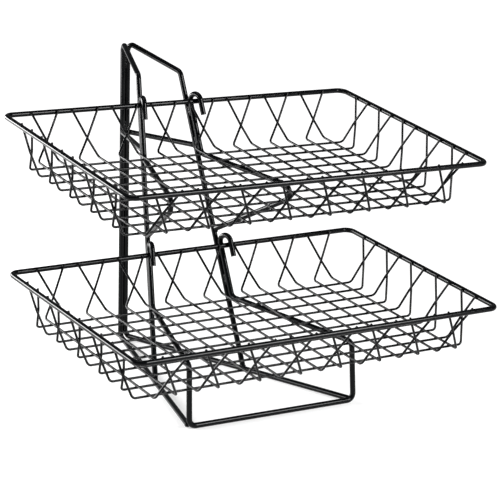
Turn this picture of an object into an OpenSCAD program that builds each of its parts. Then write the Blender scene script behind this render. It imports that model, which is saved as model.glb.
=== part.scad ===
// Two-tier countertop wire basket merchandiser: a bent-rod stand and two lift-off wire baskets.
// Millimetres. +Z is up and the baskets face -Y. The origin lies on the table, under the middle of the
// stand's feet.

/* [Rods and wires] */
// Diameter of the stand's rods
rod_d = 6.35; // [5:0.05:8]
// Diameter of the baskets' rim rods
rim_d = 6; // [5:0.05:8]
// Diameter of the basket wires
wire_d = 2.7; // [2:0.1:3.2]
// Bend radius of the stand's rods, to the centre line
rod_bend_r = 8; // [6:0.5:12]
// Bend radius of the basket wires, to the centre line
wire_bend_r = 5; // [4:0.5:8]
// Gap between pieces that are welded together
weld_gap = 0.05; // [0.02:0.01:0.2]
// Gap between a basket wire's end and the rim that it is welded to
lap_gap = 0.15; // [0.1:0.05:0.4]

/* [Stand] */
// Width of the base at the front, between the centres of the front feet
foot_span = 213.5; // [180:0.5:260]
// Depth of the base, from the rear post to the front crossbar
foot_depth = 350.5; // [320:0.5:380]
// Height of the bend at the top of the rear post
post_top_z = 368; // [360:1:420]
// Reach of the top rod, from the post to the head of the upright
top_reach = 87.5; // [70:0.5:95]
// Fall of the top rod along its reach
top_drop = 25; // [10:0.5:35]
// Distance of the upright's foot from the post, along the base rod
upright_foot = 198; // [190:0.5:215]
// Height of the ties between the post and the uprights
tie_z = 259.2; // [200:0.1:300]
// Distance that a front leg leans back at its top
leg_lean = 4.5; // [0:0.5:12]

/* [Hooks and arms] */
// Width of a hook, between the centres of its stem and its free leg
hook_w = 16.5; // [15.5:0.5:20]
// Length of a hook's free leg below its bend
hook_leg = 18; // [12:0.5:24]
// Distance from the post to the point where an upper arm and its brace would meet
arm_reach = 287.5; // [260:0.5:310]
// Bend radius at the tip of an upper arm
arm_tip_r = 10; // [8:0.5:12]
// Height at which a brace meets its upright
brace_foot_z = 163; // [160:0.5:180]
// Gap between a basket's floor and the arm that it rests on
arm_clearance = 0.3; // [0.3:0.05:1]

/* [Baskets] */
// Width of a basket over its rim
basket_w = 460; // [420:1:500]
// Depth of a basket over its rim, front to rear
basket_l = 302.4; // [280:0.2:320]
// Height of a basket, from the top of its rim to the underside of its floor
basket_h = 58; // [50:0.5:61]
// Distance that the side walls lean in from the rim to the floor
side_flare = 17.5; // [10:0.5:25]
// Distance that the front and rear walls lean in from the rim to the floor
end_flare = 21.6; // [16:0.2:28]
// Corner radius of the rim, to the centre line
rim_corner_r = 10; // [8:0.5:20]
// Number of pairs of front-to-rear wires
long_pairs = 8; // [6:2:8]
// Distance from the outermost front-to-rear wires to the corners of the floor
long_margin = 17.7; // [12:0.1:20]
// Distance between the two ends of a pair of front-to-rear wires at the rim
long_pair_w = 33.2; // [26:0.2:35]
// Number of pairs of side-to-side wires
cross_pairs = 5; // [3:2:5]
// Distance from the outermost side-to-side wires to the corners of the floor
cross_margin = 15.1; // [8:0.1:20]
// Distance between the two ends of a pair of side-to-side wires at the rim
cross_pair_w = 26.3; // [24:0.1:29]
// Length of wire that laps onto the rim
lap = 0.8; // [0.5:0.1:3]
// Bend radius where two wires bow around each other
bow_r = 20; // [10:1:30]

/* [Places of the baskets] */
// Height of the upper basket's rear rim
upper_rim_z = 311.3; // [300:0.1:318]
// Height of the lower basket's rear rim
lower_rim_z = 147; // [140:0.5:150]
// Forward tilt of the upper basket, in degrees
upper_tilt = 7.2; // [5:0.1:8]
// Forward tilt of the lower basket, in degrees
lower_tilt = 5.3; // [4:0.1:7]
// Sideways tilt of the upper basket, in degrees: above 0 its right side hangs lower
upper_side_tilt = 0.3; // [-0.5:0.1:0.5]
// Sideways tilt of the lower basket, in degrees: below 0 its left side hangs lower
lower_side_tilt = -0.5; // [-0.5:0.1:0.5]
// Sideways place of the upper basket
upper_shift = 16; // [14:0.5:19]
// Sideways place of the lower basket
lower_shift = -3.2; // [-3.4:0.1:0]
// Gap between the upper basket's rim and the hook stems behind it
upper_seat = 0.5; // [0.4:0.1:3]
// Gap between the lower basket's rim and the hook stems behind it
lower_seat = 2.7; // [0.4:0.1:3.4]
// Height of the upper hooks' bend centre above the rim's centre
upper_hook_rise = 0.3; // [0.3:0.1:7]
// Height of the lower hooks' bend centre above the rim's centre
lower_hook_rise = 3.7; // [2:0.1:7]

/* [Hidden] */
LEVELS = ["lower", "upper"];
SIDES = [["left", -1], ["right", 1]];
$fn = 32;
rod_black = [0.04, 0.04, 0.045];
wire_black = [0.06, 0.06, 0.065];

// A hair-thin band covers each seam between a straight and a bend, so that a rod is one solid
band_extra_d = 0.02;
band_l = 0.2;
// Straight length left at the crown of a hook, between its two quarter bends
crown = 0.5;

rim_z = [lower_rim_z, upper_rim_z];
tilt = [lower_tilt, upper_tilt];
side_tilt = [lower_side_tilt, upper_side_tilt];
shift = [lower_shift, upper_shift];
seat = [lower_seat, upper_seat];
hook_rise = [lower_hook_rise, upper_hook_rise];

rod_r = rod_d / 2;
post_x = rod_r + weld_gap / 2;
post_y = foot_depth / 2;
spread = atan((foot_span / 2 - post_x) / foot_depth);
front_s = foot_depth / cos(spread);
head_z = post_top_z - top_drop;
lean = atan((upright_foot - top_reach) / (head_z - rod_r));
side_lean = atan(tan(lean) * cos(spread));
stem_gap = (rod_d + weld_gap) / cos(lean);
hook_bend_r = (hook_w - crown) / 2;

rim_half_w = (basket_w - rim_d) / 2;
rim_l = basket_l - rim_d;
cross_z = basket_h - (rim_d + wire_d) / 2;
long_z = cross_z - wire_d - weld_gap;
long_pitch = (2 * (rim_half_w - side_flare - long_margin)) / (2 * long_pairs - 1);
cross_pitch = (rim_l - 2 * (end_flare + cross_margin)) / (2 * cross_pairs - 1);
arm_drop = cross_z + wire_d / 2 + rod_r + arm_clearance;
arm_end_s = [front_s - leg_lean, arm_reach];

// Each side frame is flat: s runs forward from the post along the base rod, and z is height
function side_point(p, side) =
    [side * (post_x + p[0] * sin(spread)), post_y - p[0] * cos(spread), p[1]];
function upright_s(z) = top_reach + (head_z - z) * tan(lean);
function stem_s(z) = upright_s(z) + stem_gap;
function rim_y(level) =
    post_y - stem_s(rim_z[level]) * cos(spread) - (rod_r + rim_d / 2 + seat[level]) / cos(side_lean);

// The arms lie just under the basket floor and share its forward tilt. The side of the floor that hangs
// lower sets the height of both, and the sag is how far it lies below the middle there.
function arm_slope(level) = tan(tilt[level]) * cos(spread);
function side_sag(level) =
    let (end = side_point([arm_end_s[level], 0], sign(side_tilt[level])))
    tan(side_tilt[level]) * (end[0] - shift[level]);
function arm_start_z(level) =
    rim_z[level] + (post_y - rim_y(level)) * tan(tilt[level]) - side_sag(level)
    - arm_drop / cos(tilt[level]);
function arm_z(level, s) = arm_start_z(level) - arm_slope(level) * s;
function arm_corner(level) =
    let (b = arm_slope(level),
         z = (arm_start_z(level) - b * stem_s(0)) / (1 - b * tan(lean)))
    [stem_s(z), z];

// The free end, the two crown corners and the elbow onto the arm of one hook
function hook_points(level) =
    let (z = rim_z[level] + hook_rise[level] - hook_w / 2 * sin(lean),
         stem = [stem_s(z), z],
         up = [-sin(lean), cos(lean)],
         out = [cos(lean), sin(lean)])
    [stem + hook_w * out - hook_leg * up,
     stem + hook_w * out + hook_w / 2 * up,
     stem + hook_w / 2 * up,
     arm_corner(level)];

function unit(v) = v / norm(v);
function turn(a, b) = acos(max(-1, min(1, a * b)));
function roll(y0, y1, a) = atan2(cross(y0, y1) * a, y0 * y1);

// A bent rod as a bender makes it: for each straight its roll, its length, then the bend's angle and radius
function bender_steps(pts, radii) =
    let (m = len(pts) - 1,
         a = [for (i = [0:m - 1]) unit(pts[i + 1] - pts[i])],
         angle = [for (i = [0:m]) i == 0 || i == m ? 0 : turn(a[i - 1], a[i])],
         cut = [for (i = [0:m]) i == 0 || i == m ? 0 : radii[i - 1] * tan(angle[i] / 2)],
         side = [for (i = [1:m - 1]) unit(cross(a[i - 1], a[i]))])
    [for (i = [0:m - 1])
        [i == 0 || i == m - 1 ? 0 : roll(side[i - 1], side[i], a[i]),
         norm(pts[i + 1] - pts[i]) - cut[i] - cut[i + 1],
         angle[i + 1],
         i == m - 1 ? 0 : radii[i]]];

module seam_band(d) {
    cylinder(d = d + band_extra_d, h = band_l, center = true);
}

// A bend that starts at the origin along +Z and turns towards +X
module elbow(angle, r, d) {
    translate([r, 0, 0])
        multmatrix([[-1, 0, 0, 0], [0, 0, 1, 0], [0, 1, 0, 0]])
            rotate_extrude(angle = angle) translate([r, 0]) circle(d = d);
}

module bent_rest(steps, d, i = 0) {
    step = steps[i];
    rotate([0, 0, step[0]]) {
        cylinder(d = d, h = step[1]);
        if (i > 0) seam_band(d);
        if (i < len(steps) - 1) translate([0, 0, step[1]]) {
            seam_band(d);
            elbow(step[2], step[3], d);
            translate([step[3], 0, 0]) rotate([0, step[2], 0]) translate([-step[3], 0, 0])
                bent_rest(steps, d, i + 1);
        }
    }
}

module bent_rod(pts, radii, d) {
    z = unit(pts[1] - pts[0]);
    y = unit(cross(z, pts[2] - pts[1]));
    x = cross(y, z);
    p = pts[0];
    multmatrix([[x[0], y[0], z[0], p[0]], [x[1], y[1], z[1], p[1]], [x[2], y[2], z[2], p[2]]])
        bent_rest(bender_steps(pts, radii), d);
}

module straight_rod(p, q, d) {
    z = unit(q - p);
    x = unit(cross([0, 0, 1], z));
    y = cross(z, x);
    multmatrix([[x[0], y[0], z[0], p[0]], [x[1], y[1], z[1], p[1]], [x[2], y[2], z[2], p[2]]])
        cylinder(d = d, h = norm(q - p));
}

// Base rod, post, top rod and upright of one side, bent from one rod
module main_rod(side) {
    base_end = front_s - (rod_r * (2 + sin(spread)) + weld_gap) / cos(spread);
    end_z = rod_d + weld_gap + rod_r * sin(lean);
    path = [[base_end, rod_r], [0, rod_r], [0, post_top_z], [top_reach, head_z],
        [upright_s(end_z), end_z]];
    color(rod_black)
        bent_rod([for (p = path) side_point(p, side)], [rod_bend_r, rod_bend_r, rod_bend_r], rod_d);
}

// Lower hooks, stems, arms, front legs and front crossbar, bent from one rod
module lower_shelf_rod() {
    knee_s = arm_end_s[0];
    half = concat(hook_points(0), [[knee_s, arm_z(0, knee_s)], [front_s, rod_r]]);
    n = len(half);
    path = concat([for (p = half) side_point(p, -1)],
        [for (i = [1:n]) side_point(half[n - i], 1)]);
    bends = [hook_bend_r, hook_bend_r, rod_bend_r, rod_bend_r, rod_bend_r];
    radii = concat(bends, [for (i = [1:len(bends)]) bends[len(bends) - i]]);
    color(rod_black) bent_rod(path, radii, rod_d);
}

// Upper hook, stem, arm and the brace that runs back down to the upright, bent from one rod
module upper_arm(side) {
    tip = [arm_end_s[1], arm_z(1, arm_end_s[1])];
    foot = [upright_s(brace_foot_z), brace_foot_z];
    along = unit(foot - tip);
    meet = turn(along, [sin(lean), -cos(lean)]);
    stop = (rod_r * (1 + cos(meet)) + weld_gap) / sin(meet);
    path = concat(hook_points(1), [tip, foot - stop * along]);
    color(rod_black)
        bent_rod([for (p = path) side_point(p, side)],
            [hook_bend_r, hook_bend_r, rod_bend_r, arm_tip_r], rod_d);
}

// Straight tie between the post and the back of the upright
module rear_tie(side) {
    start_s = rod_r + weld_gap;
    end_s = upright_s(tie_z + rod_r) - rod_r / cos(lean) - weld_gap;
    color(rod_black)
        straight_rod(side_point([start_s, tie_z], side), side_point([end_s, tie_z], side), rod_d);
}

// A basket's own frame has its origin in the rear rim's centre line, with the rim level and -Y forward
module place_basket(level) {
    translate([shift[level], rim_y(level), rim_z[level]])
        rotate([tilt[level], side_tilt[level], 0]) children();
}

// Closed rim of one basket
module basket_rim() {
    r = rim_corner_r;
    across = rim_half_w - r;
    corners = [[across, r - rim_l], [across, -r], [-across, -r], [-across, r - rim_l]];
    color(rod_black) {
        for (i = [0:3])
            translate([corners[i][0], corners[i][1], 0]) rotate([0, 0, 90 * i - 90]) {
                rotate_extrude(angle = 90) translate([r, 0]) circle(d = rim_d);
                translate([r, 0, 0]) rotate([90, 0, 0]) seam_band(rim_d);
                translate([0, r, 0]) rotate([0, -90, 0]) seam_band(rim_d);
            }
        for (x = [-rim_half_w, rim_half_w])
            translate([x, -r, 0]) rotate([90, 0, 0]) cylinder(d = rim_d, h = rim_l - 2 * r);
        for (y = [-rim_l, 0])
            translate([-across, y, 0]) rotate([0, 90, 0]) cylinder(d = rim_d, h = 2 * across);
    }
}

// The rim end, the crossing and the floor bend of a wire that climbs a wall, each as
// [in from the rim, height, sideways]
function wall_points(flare, depth, floor_w, pair_w, bow) =
    let (c = (rim_d + wire_d) / 2 + lap_gap,
         span = norm([flare, depth]),
         slope = atan(flare / depth) - asin(c / span),
         climb = sqrt(span * span - c * c),
         up = [-sin(slope), cos(slope)],
         out = [-cos(slope), -sin(slope)],
         base = [flare, -depth],
         end = base + (climb + lap) * up,
         mid = base + climb * floor_w / (floor_w + pair_w) * up + bow * (wire_d + weld_gap) / 2 * out)
    [[end[0], end[1], -pair_w / 2], [mid[0], mid[1], 0], [base[0], base[1], floor_w / 2]];

// One wire in its own frame: over the rim at 0, down, across the floor and up to the rim at -length
function wire_path(flare, depth, length, floor_w, pair_w, bow) =
    let (w = wall_points(flare, depth, floor_w, pair_w, bow))
    concat([for (p = w) [bow * p[2], -p[0], p[1]]],
        [for (i = [2:-1:0]) [bow * w[i][2], w[i][0] - length, w[i][1]]]);

module wire_pair(flare, depth, length, floor_w, pair_w) {
    color(wire_black)
        for (bow = [-1, 1])
            bent_rod(wire_path(flare, depth, length, floor_w, pair_w, bow),
                [bow_r, wire_bend_r, wire_bend_r, bow_r], wire_d);
}

// Pair k of the front-to-rear wires, counted from the left
module long_wires(k) {
    x = (2 * k - 1 - long_pairs) * long_pitch;
    translate([x, 0, 0]) wire_pair(end_flare, long_z, rim_l, long_pitch, long_pair_w);
}

// Pair k of the side-to-side wires, counted from the rear
module cross_wires(k) {
    y = -rim_l / 2 - (2 * k - 1 - cross_pairs) * cross_pitch;
    translate([rim_half_w, y, 0]) rotate([0, 0, -90])
        wire_pair(side_flare, cross_z, 2 * rim_half_w, cross_pitch, cross_pair_w);
}

for (s = SIDES) main_rod(s[1]);
lower_shelf_rod();
for (s = SIDES) upper_arm(s[1]);
for (s = SIDES) rear_tie(s[1]);
for (l = [0, 1]) place_basket(l) basket_rim();
for (l = [0, 1], k = [1:long_pairs])
    place_basket(l) long_wires(k);
for (l = [0, 1], k = [1:cross_pairs])
    place_basket(l) cross_wires(k);
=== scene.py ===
import bpy, bmesh, math
from mathutils import Matrix, Vector


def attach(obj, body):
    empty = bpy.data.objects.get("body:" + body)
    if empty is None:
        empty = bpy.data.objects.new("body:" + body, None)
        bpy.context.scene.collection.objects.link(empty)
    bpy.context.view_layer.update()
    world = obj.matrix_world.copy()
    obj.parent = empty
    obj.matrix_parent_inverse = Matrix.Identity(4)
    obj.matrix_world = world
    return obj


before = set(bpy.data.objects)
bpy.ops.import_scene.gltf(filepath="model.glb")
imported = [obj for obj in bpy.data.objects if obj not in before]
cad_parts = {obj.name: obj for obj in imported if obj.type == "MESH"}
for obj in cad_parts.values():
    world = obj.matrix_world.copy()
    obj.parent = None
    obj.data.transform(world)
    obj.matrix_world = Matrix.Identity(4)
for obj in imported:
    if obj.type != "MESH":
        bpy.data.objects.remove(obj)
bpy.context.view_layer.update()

# ---- Main rods --------------------------------------------------------------
# Each side of the stand starts as one 1/4 in steel rod, bent cold into the base rod, the rear post, the
# top rod and the slanting upright. The whole stand is blasted and powder coated gloss black after welding.
rod_r = 0.003175
# the coat itself is black; its slight blue cast is a painted cool reflection
coat_black_with_painted_cool_cast = (0.0022, 0.0026, 0.0031)


def powder_coat(name, colour, gloss, peel_scale, peel_depth, rubbed):
    """Baked powder coat: orange peel, a little unevenness in colour and gloss, and rubbed spots on top"""
    mat = bpy.data.materials.new(name)
    mat.use_nodes = True
    tree = mat.node_tree
    new, link = tree.nodes.new, tree.links.new
    skin = tree.nodes["Principled BSDF"]
    skin.inputs["Specular IOR Level"].default_value = 0.11
    place = new("ShaderNodeTexCoord")

    patches = new("ShaderNodeTexNoise")
    patches.inputs["Scale"].default_value = 45
    patches.inputs["Detail"].default_value = 4
    link(place.outputs["Object"], patches.inputs["Vector"])

    tone = new("ShaderNodeValToRGB")
    tone.color_ramp.elements[0].position = 0.35
    tone.color_ramp.elements[0].color = (*[c * 0.7 for c in colour], 1)
    tone.color_ramp.elements[1].position = 0.7
    tone.color_ramp.elements[1].color = (*[c * 1.35 for c in colour], 1)
    link(patches.outputs["Fac"], tone.inputs["Fac"])

    # handling rubs the coat duller and greyer where the rods face up
    facing = new("ShaderNodeNewGeometry")
    split = new("ShaderNodeSeparateXYZ")
    link(facing.outputs["Normal"], split.inputs["Vector"])
    upper = new("ShaderNodeMapRange")
    upper.inputs["From Min"].default_value = 0.55
    upper.inputs["From Max"].default_value = 1.0
    link(split.outputs["Z"], upper.inputs["Value"])
    scuffs = new("ShaderNodeTexNoise")
    scuffs.inputs["Scale"].default_value = 170
    scuffs.inputs["Detail"].default_value = 6
    scuffs.inputs["Roughness"].default_value = 0.65
    link(place.outputs["Object"], scuffs.inputs["Vector"])
    spots = new("ShaderNodeMapRange")
    spots.inputs["From Min"].default_value = 0.56
    spots.inputs["From Max"].default_value = 0.72
    link(scuffs.outputs["Fac"], spots.inputs["Value"])
    worn = new("ShaderNodeMath")
    worn.operation = "MULTIPLY"
    link(upper.outputs["Result"], worn.inputs[0])
    link(spots.outputs["Result"], worn.inputs[1])
    amount = new("ShaderNodeMath")
    amount.operation = "MULTIPLY"
    amount.inputs[1].default_value = rubbed
    link(worn.outputs[0], amount.inputs[0])
    mix = new("ShaderNodeMix")
    mix.data_type = "RGBA"
    mix.inputs["B"].default_value = (0.022, 0.022, 0.023, 1)
    link(amount.outputs[0], mix.inputs["Factor"])
    link(tone.outputs["Color"], mix.inputs["A"])
    link(mix.outputs["Result"], skin.inputs["Base Color"])

    sheen = new("ShaderNodeMapRange")
    sheen.inputs["To Min"].default_value = gloss - 0.03
    sheen.inputs["To Max"].default_value = gloss + 0.05
    link(patches.outputs["Fac"], sheen.inputs["Value"])
    dull = new("ShaderNodeMath")
    dull.operation = "MULTIPLY_ADD"
    dull.inputs[1].default_value = 0.25
    link(amount.outputs[0], dull.inputs[0])
    link(sheen.outputs["Result"], dull.inputs[2])
    link(dull.outputs[0], skin.inputs["Roughness"])

    peel = new("ShaderNodeTexNoise")
    peel.inputs["Scale"].default_value = peel_scale
    peel.inputs["Detail"].default_value = 2
    link(place.outputs["Object"], peel.inputs["Vector"])
    relief = new("ShaderNodeBump")
    relief.inputs["Strength"].default_value = 0.22
    relief.inputs["Distance"].default_value = peel_depth
    link(peel.outputs["Fac"], relief.inputs["Height"])
    link(relief.outputs["Normal"], skin.inputs["Normal"])
    return mat


rod_coat = powder_coat("stand_powder_coat", coat_black_with_painted_cool_cast, gloss=0.11, peel_scale=900, peel_depth=0.00008,
                       rubbed=0.5)


def dress(node, mat):
    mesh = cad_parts[node].data
    mesh.materials.clear()
    mesh.materials.append(mat)


for side in ("left", "right"):
    dress(side + "_main_rod", rod_coat)

# The two side frames are flat. They meet at the posts and spread towards the front, so a place on one is
# given by its distance from the post along the base rod, its height, and the side. The slanting upright runs
# from its head down to its foot.
foot_span, foot_depth, seam_gap = 0.2135, 0.3505, 0.00005
head_s, head_z, foot_s = 0.0875, 0.343, 0.198
post_y, post_x = foot_depth / 2, rod_r + seam_gap / 2
spread = math.atan((foot_span / 2 - post_x) / foot_depth)
lean = math.atan((foot_s - head_s) / (head_z - rod_r))
sides = (("left", -1), ("right", 1))


def on_side(s, z, side):
    return Vector((side * (post_x + s * math.sin(spread)), post_y - s * math.cos(spread), z))


def upright_s(z):
    return head_s + (head_z - z) * math.tan(lean)


def forward(side):
    return Vector((side * math.sin(spread), -math.cos(spread), 0))


def up_the_upright(side):
    return -math.sin(lean) * forward(side) + math.cos(lean) * Vector((0, 0, 1))


# ---- Post seams -------------------------------------------------------------
# The two posts stand side by side and are joined by short runs of MIG weld in the grooves at their front
# and back: under the top bends, at the ties and near the counter.
weld_coat = powder_coat("weld_powder_coat", coat_black_with_painted_cool_cast, gloss=0.16, peel_scale=700, peel_depth=0.0012,
                        rubbed=0.3)
ripple_pitch, ripple_valley = 0.0013, 0.86


def seam_run(name, run, width, depth):
    """A run of weld in the groove between two rods: rippled, a little uneven, tapered at both ends"""
    ripples = round(run / ripple_pitch)
    bpy.ops.object.select_all(action="DESELECT")
    bpy.ops.mesh.primitive_cylinder_add(vertices=12, radius=1, depth=run, end_fill_type="TRIFAN")
    bead = bpy.context.object
    bead.name = name
    bpy.ops.object.mode_set(mode="EDIT")
    bpy.ops.mesh.select_mode(type="EDGE")
    bpy.ops.mesh.select_all(action="DESELECT")
    shape = bmesh.from_edit_mesh(bead.data)
    for edge in shape.edges:
        edge.select = abs(edge.verts[0].co.z - edge.verts[1].co.z) > run / 2
    shape.select_flush_mode()
    bmesh.update_edit_mesh(bead.data)
    rings = 2 * ripples
    bpy.ops.mesh.subdivide(number_cuts=rings - 1)
    bpy.ops.mesh.select_mode(type="VERT")
    for ring in range(rings + 1):
        height = run * (ring / rings - 0.5)
        taper = math.sqrt(max(0.06, 1 - abs(2 * height / run) ** 5))
        taper *= ripple_valley if ring % 2 else 1
        shape = bmesh.from_edit_mesh(bead.data)
        for vert in shape.verts:
            vert.select = abs(vert.co.z - height) < run / rings / 4
        shape.select_flush_mode()
        bmesh.update_edit_mesh(bead.data)
        bpy.ops.transform.resize(value=(width / 2 * taper, depth / 2 * taper, 1),
                                 center_override=(0, 0, 0))
    bpy.ops.mesh.select_all(action="SELECT")
    bpy.ops.transform.vertex_random(offset=0.0003, uniform=0.6, normal=0.4, seed=7)
    bpy.ops.object.mode_set(mode="OBJECT")
    bpy.ops.object.modifier_add(type="SUBSURF")
    bead.modifiers[0].levels = bead.modifiers[0].render_levels = 1
    bpy.ops.object.modifier_apply(modifier=bead.modifiers[0].name)
    bpy.ops.object.shade_smooth()
    bead.data.materials.append(weld_coat)
    return bead


def lay(pattern, name, at, out, along, body):
    """One copy of a modelled weld with its own mesh, its Y axis out of the joint and its Z axis along it"""
    out = (out - out.dot(along) * along).normalized()
    turned = Matrix((out.cross(along), out, along)).transposed().to_4x4()
    weld = bpy.data.objects.new(name, pattern.data.copy())
    weld.data.transform(Matrix.Translation(at) @ turned)
    bpy.context.scene.collection.objects.link(weld)
    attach(weld, body)


def put_away(pattern):
    bpy.data.objects.remove(pattern)


# how far a run's middle lies from the plane through the two rods' centre lines
groove = 0.0016
upward = Vector((0, 0, 1))
post_run = seam_run("post_run", run=0.024, width=0.0072, depth=0.0026)
for place, height in (("top", 0.349), ("tie", 0.2605), ("foot", 0.030)):
    for face, out in (("front", Vector((0, -1, 0))), ("back", Vector((0, 1, 0)))):
        lay(post_run, "post_seam_" + place + "_" + face, Vector((0, post_y, height)) + groove * out,
            out, upward, "stand")
put_away(post_run)

# ---- Rear ties --------------------------------------------------------------
# A short straight rod between each post and its upright, cut to length and butted in before welding.
# The weld runs right round each end, and round the upright's foot on the base rod.
tie_z, upright_weld_z = 0.2592, 0.0066


def weld_nugget(name, across, depth, along):
    """A small weld round a butted rod end: a low dome whose surface shows where each pass stopped"""
    bpy.ops.object.select_all(action="DESELECT")
    bpy.ops.mesh.primitive_uv_sphere_add(segments=20, ring_count=12, radius=along / 2)
    nugget = bpy.context.object
    nugget.name = name
    bpy.ops.object.mode_set(mode="EDIT")
    bpy.ops.mesh.select_mode(type="VERT")
    shape = bmesh.from_edit_mesh(nugget.data)
    for vert in shape.verts:
        meridian = round(math.degrees(math.atan2(vert.co.y, vert.co.x)) / 18)
        vert.select = meridian % 2 == 1 and abs(vert.co.z) < 0.49 * along
    shape.select_flush_mode()
    bmesh.update_edit_mesh(nugget.data)
    bpy.ops.transform.resize(value=(0.93, 0.93, 1), center_override=(0, 0, 0))
    bpy.ops.mesh.select_all(action="SELECT")
    bpy.ops.transform.vertex_random(offset=0.0002, uniform=0.5, normal=0.5, seed=4)
    bpy.ops.transform.resize(value=(across / along, depth / along, 1), center_override=(0, 0, 0))
    bpy.ops.object.mode_set(mode="OBJECT")
    bpy.ops.object.modifier_add(type="SUBSURF")
    nugget.modifiers[0].levels = nugget.modifiers[0].render_levels = 1
    bpy.ops.object.modifier_apply(modifier=nugget.modifiers[0].name)
    bpy.ops.object.shade_smooth()
    nugget.data.materials.append(weld_coat)
    return nugget


# each weld's middle is sunk a little into the face that the rod's end is butted on
sunk_rear, sunk_front = 0.000375, 0.0003
butt_weld = weld_nugget("butt_weld", across=0.0066, depth=0.0040, along=0.0088)
upright_face = rod_r / math.cos(lean)
for name, side in sides:
    dress(name + "_rear_tie", rod_coat)
    lay(butt_weld, name + "_tie_weld_rear", on_side(rod_r - sunk_rear, tie_z, side), forward(side), upward,
        "stand")
    tie_end = upright_s(tie_z) - upright_face
    lay(butt_weld, name + "_tie_weld_front", on_side(tie_end + sunk_front, tie_z, side), -forward(side),
        up_the_upright(side), "stand")
    lay(butt_weld, name + "_upright_foot_weld", on_side(upright_s(upright_weld_z), upright_weld_z, side),
        upward, forward(side), "stand")

# ---- Lower shelf rod --------------------------------------------------------
# One long rod makes both lower hooks, stems, arms, front legs and the crossbar on the counter. Its stems lie
# along the front of the uprights and are welded there in short runs, and the base rods butt into its corners.
dress("lower_shelf_rod", rod_coat)
stem_run = seam_run("stem_run", run=0.013, width=0.0050, depth=0.0026)
stem_pitch = (2 * rod_r + seam_gap) / math.cos(lean)


def weld_stem(level, heights):
    for name, side in sides:
        outward = side * upward.cross(forward(side))
        for place, z in heights:
            for face, out in (("outer", outward), ("inner", -outward)):
                at = on_side(upright_s(z) + stem_pitch / 2, z, side) + groove * out
                lay(stem_run, name + "_" + level + "_stem_seam_" + place + "_" + face, at, out,
                    up_the_upright(side), "stand")


weld_stem("lower", (("high", 0.140), ("low", 0.106)))
corner_weld = weld_nugget("corner_weld", across=0.0058, depth=0.0036, along=0.0080)
base_end = (foot_depth - rod_r * (2 + math.sin(spread)) - seam_gap) / math.cos(spread)
sunk_corner = 0.0006
for name, side in sides:
    lay(corner_weld, name + "_base_end_weld", on_side(base_end + sunk_corner, rod_r, side), -forward(side),
        Vector((1, 0, 0)), "stand")
put_away(corner_weld)

# ---- Upper arms -------------------------------------------------------------
# One rod a side is bent into the hook, the stem, the arm, the tip and the brace back to the upright. The stem
# is welded along the upright and the brace is butted onto its front.
brace_foot_z, weld_proud, weld_rise = 0.163, 0.0004, 0.0012
for name, side in sides:
    dress(name + "_upper_arm", rod_coat)
    brace_foot = on_side(upright_s(brace_foot_z) + upright_face + weld_proud, brace_foot_z + weld_rise, side)
    lay(butt_weld, name + "_brace_weld", brace_foot, forward(side), up_the_upright(side),
        "stand")
weld_stem("upper", (("high", 0.299), ("low", 0.264)))
put_away(butt_weld)
put_away(stem_run)

# ---- Basket rims ------------------------------------------------------------
# A rectangle of 6 mm rod with round corners, bent from one length and closed by a butt weld. It hangs in the
# stand's hooks and carries the basket.
rim_coat = powder_coat("rim_powder_coat", coat_black_with_painted_cool_cast, gloss=0.10, peel_scale=900, peel_depth=0.00008,
                       rubbed=0.6)
for level in ("lower", "upper"):
    dress(level + "_basket_rim", rim_coat)

# ---- Basket wires -----------------------------------------------------------
# Pairs of 12 gauge wires cross on the walls, run over the floor and are spot welded inside the rim and at
# every crossing of the floor. The basket is coated black with its rim.
wire_coat = powder_coat("wire_powder_coat", coat_black_with_painted_cool_cast, gloss=0.13, peel_scale=1300, peel_depth=0.00006,
                        rubbed=0.6)
long_pairs, cross_pairs = 8, 5
for level in ("lower", "upper"):
    for k in range(1, long_pairs + 1):
        dress(level + "_basket_long_wires_" + str(k), wire_coat)
    for k in range(1, cross_pairs + 1):
        dress(level + "_basket_cross_wires_" + str(k), wire_coat)

# ---- Spot welds -------------------------------------------------------------
# Every wire end is spot welded inside the rim, each crossing pair is welded where its wires touch, and so is
# every crossing of the floor. A weld there is a low button of squeezed-out steel, coated with the rest.
basket_w, basket_l, basket_h, rim_r, wire_r = 0.460, 0.3024, 0.058, 0.003, 0.00135
side_flare, end_flare, end_gap = 0.0175, 0.0216, 0.00015
long_margin, cross_margin, long_pair_w, cross_pair_w = 0.0177, 0.0151, 0.0332, 0.0263
half_w, rim_l = basket_w / 2 - rim_r, basket_l - 2 * rim_r
cross_z = basket_h - rim_r - wire_r
long_z = cross_z - 2 * wire_r - seam_gap
long_pitch = 2 * (half_w - side_flare - long_margin) / (2 * long_pairs - 1)
cross_pitch = (rim_l - 2 * (end_flare + cross_margin)) / (2 * cross_pairs - 1)
# where the middle of each rear rim hangs, and how many degrees the basket tilts forward and sideways
hung = {"lower": ((-0.0032, 0.014464, 0.147), 5.3, -0.5), "upper": ((0.016, 0.068004, 0.3113), 7.2, 0.3)}

bpy.ops.object.select_all(action="DESELECT")
bpy.ops.mesh.primitive_uv_sphere_add(segments=8, ring_count=5, radius=0.0015)
button = bpy.context.object
button.name = "button"
bpy.ops.object.mode_set(mode="EDIT")
bpy.ops.mesh.select_mode(type="VERT")
bpy.ops.mesh.select_all(action="SELECT")
bpy.ops.transform.vertex_random(offset=0.0001, uniform=0.5, normal=0.5, seed=2)
bpy.ops.transform.resize(value=(1, 1, 0.6), center_override=(0, 0, 0))
bpy.ops.object.mode_set(mode="OBJECT")
bpy.ops.object.shade_smooth()


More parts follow.
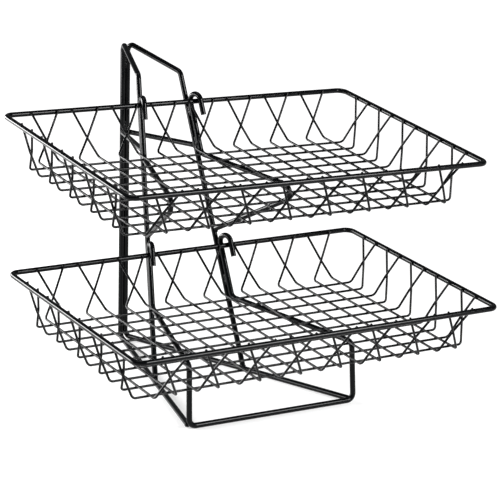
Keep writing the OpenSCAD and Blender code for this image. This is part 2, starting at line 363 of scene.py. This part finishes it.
def wall_welds(flare, depth, floor_w, pair_w):
    """On one wall: how far in from the rim's centre line, how high and how far sideways each weld lies"""
    from_rim = rim_r + wire_r + end_gap
    span = math.hypot(flare, depth)
    slope = math.atan(flare / depth) - math.asin(from_rim / span)
    climb = math.sqrt(span ** 2 - from_rim ** 2)
    reach, below = rim_r + end_gap / 2, 0.0009
    end = (math.cos(slope) * reach + math.sin(slope) * below,
           math.sin(slope) * reach - math.cos(slope) * below)
    part = climb * floor_w / (floor_w + pair_w)
    mid = (flare - part * math.sin(slope), part * math.cos(slope) - depth)
    return [(*end, -pair_w / 2), (*mid, 0), (*end, pair_w / 2)]


spots = []
for x in [(2 * k - 1 - long_pairs) * long_pitch for k in range(1, long_pairs + 1)]:
    for inward, height, aside in wall_welds(end_flare, long_z, long_pitch, long_pair_w):
        spots += [((x + aside, -inward, height), "X"), ((x + aside, inward - rim_l, height), "X")]
for y in [-rim_l / 2 - (2 * k - 1 - cross_pairs) * cross_pitch for k in range(1, cross_pairs + 1)]:
    for inward, height, aside in wall_welds(side_flare, cross_z, cross_pitch, cross_pair_w):
        spots += [((inward - half_w, y + aside, height), "Y"), ((half_w - inward, y + aside, height), "Y")]
for i in range(2 * long_pairs):
    for j in range(2 * cross_pairs):
        spots.append((((i + 0.5 - long_pairs) * long_pitch, (j + 0.5 - cross_pairs) * cross_pitch - rim_l / 2,
                       -long_z - wire_r - seam_gap / 2), "Z"))

# a button lies flat on the floor's crossings and is turned up on the walls
turned_up = {"X": Matrix.Rotation(math.pi / 2, 4, "X"), "Y": Matrix.Rotation(math.pi / 2, 4, "Y"),
             "Z": Matrix.Identity(4)}
for level, (place, tilt, side_tilt) in hung.items():
    basket = (Matrix.Translation(place) @ Matrix.Rotation(math.radians(side_tilt), 4, "Y")
              @ Matrix.Rotation(math.radians(tilt), 4, "X"))
    gathered = bmesh.new()
    for at, wall in spots:
        one = button.data.copy()
        one.transform(basket @ Matrix.Translation(at) @ turned_up[wall])
        gathered.from_mesh(one)
        bpy.data.meshes.remove(one)
    mesh = bpy.data.meshes.new(level + "_basket_spot_welds")
    gathered.to_mesh(mesh)
    gathered.free()
    mesh.materials.append(wire_coat)
    welds = bpy.data.objects.new(level + "_basket_spot_welds", mesh)
    bpy.context.scene.collection.objects.link(welds)
    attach(welds, level + "_basket")
put_away(button)

# ---- Floor and light --------------------------------------------------------
# A plain white sweep. Soft lamps at the front right, the left and the left rear draw thin bright lines along
# the gloss rods, and a weaker one hangs overhead.
bpy.ops.object.select_all(action="DESELECT")
bpy.ops.mesh.primitive_plane_add(size=40, location=(0, 0, 0))
floor = bpy.context.object
floor.name = "floor"
paper = bpy.data.materials.new("white_paper")
paper.use_nodes = True
tree = paper.node_tree
sheet = tree.nodes["Principled BSDF"]
sheet.inputs["Base Color"].default_value = (0.62, 0.62, 0.62, 1)
sheet.inputs["Roughness"].default_value = 0.8
sheet.inputs["Specular IOR Level"].default_value = 0

# the camera, mirrors and glass see the sweep turn white away from the stand, and the shadow at its feet stays
path = tree.nodes.new("ShaderNodeLightPath")
seen = tree.nodes.new("ShaderNodeMath")
seen.operation = "ADD"
tree.links.new(path.outputs["Is Camera Ray"], seen.inputs[0])
tree.links.new(path.outputs["Is Glossy Ray"], seen.inputs[1])
mirrored = tree.nodes.new("ShaderNodeMath")
mirrored.operation = "ADD"
mirrored.use_clamp = True
tree.links.new(seen.outputs[0], mirrored.inputs[0])
tree.links.new(path.outputs["Is Transmission Ray"], mirrored.inputs[1])

span = tree.nodes.new("ShaderNodeTexCoord")
away = tree.nodes.new("ShaderNodeVectorMath")
away.operation = "LENGTH"
tree.links.new(span.outputs["Object"], away.inputs[0])
fade = tree.nodes.new("ShaderNodeMapRange")
fade.inputs["From Min"].default_value = 0.4
fade.inputs["From Max"].default_value = 1.8
fade.inputs["To Min"].default_value = 0.42
fade.inputs["To Max"].default_value = 1.0
tree.links.new(away.outputs["Value"], fade.inputs["Value"])
strength = tree.nodes.new("ShaderNodeMath")
strength.operation = "MULTIPLY"
tree.links.new(mirrored.outputs[0], strength.inputs[0])
tree.links.new(fade.outputs["Result"], strength.inputs[1])

lift = tree.nodes.new("ShaderNodeEmission")
tree.links.new(strength.outputs[0], lift.inputs["Strength"])
total = tree.nodes.new("ShaderNodeAddShader")
tree.links.new(sheet.outputs[0], total.inputs[0])
tree.links.new(lift.outputs[0], total.inputs[1])
tree.links.new(total.outputs[0], tree.nodes["Material Output"].inputs["Surface"])
floor.data.materials.append(paper)

world = bpy.data.worlds.new("studio")
bpy.context.scene.world = world
world.use_nodes = True
world.node_tree.nodes["Background"].inputs["Color"].default_value = (1, 1, 1, 1)
world.node_tree.nodes["Background"].inputs["Strength"].default_value = 0.12


def softbox(name, at, aim, width, height, power):
    bpy.ops.object.light_add(type="AREA", location=at)
    lamp = bpy.context.object
    lamp.name = name
    lamp.data.shape = "RECTANGLE"
    lamp.data.size, lamp.data.size_y, lamp.data.energy = width, height, power
    lamp.rotation_euler = (Vector(aim) - Vector(at)).to_track_quat("-Z", "Y").to_euler()


softbox("overhead", at=(-0.2, 0.0, 2.3), aim=(0, 0, 0.2), width=1.1, height=1.1, power=8)
softbox("front_right", at=(0.75, -1.45, 0.90), aim=(0, 0, 0.2), width=0.6, height=0.6, power=40)
softbox("left_rear", at=(-0.78, 1.02, 0.44), aim=(0, -0.05, 0.22), width=0.8, height=0.36, power=34)
softbox("left", at=(-1.25, 0.42, 0.28), aim=(0, 0, 0.25), width=0.6, height=0.4, power=16)

# ---- Camera -----------------------------------------------------------------
# 13.5 degrees above the horizon and 31.6 degrees to the left of the front, 2.6 metres away, held 1.3 degrees
# out of level.
stands_at = Vector((-1.2697, -2.1719, 0.7600))
turn, rise, tip = math.radians(-31.561), math.radians(13.525), math.radians(1.278)
ahead = Vector((-math.sin(turn) * math.cos(rise), math.cos(turn) * math.cos(rise), -math.sin(rise)))
right = Vector((math.cos(turn), math.sin(turn), 0))
up = right.cross(ahead)
right, up = math.cos(tip) * right + math.sin(tip) * up, math.cos(tip) * up - math.sin(tip) * right
lens = bpy.data.cameras.new("camera")
camera = bpy.data.objects.new("camera", lens)
bpy.context.scene.collection.objects.link(camera)
camera.matrix_world = Matrix.Translation(stands_at) @ Matrix((right, up, -ahead)).transposed().to_4x4()
lens.sensor_width = 36
lens.lens = 161.12
lens.shift_x, lens.shift_y = 0.01339, -0.00597
bpy.context.scene.camera = camera
bpy.context.scene.view_settings.view_transform = "Standard"
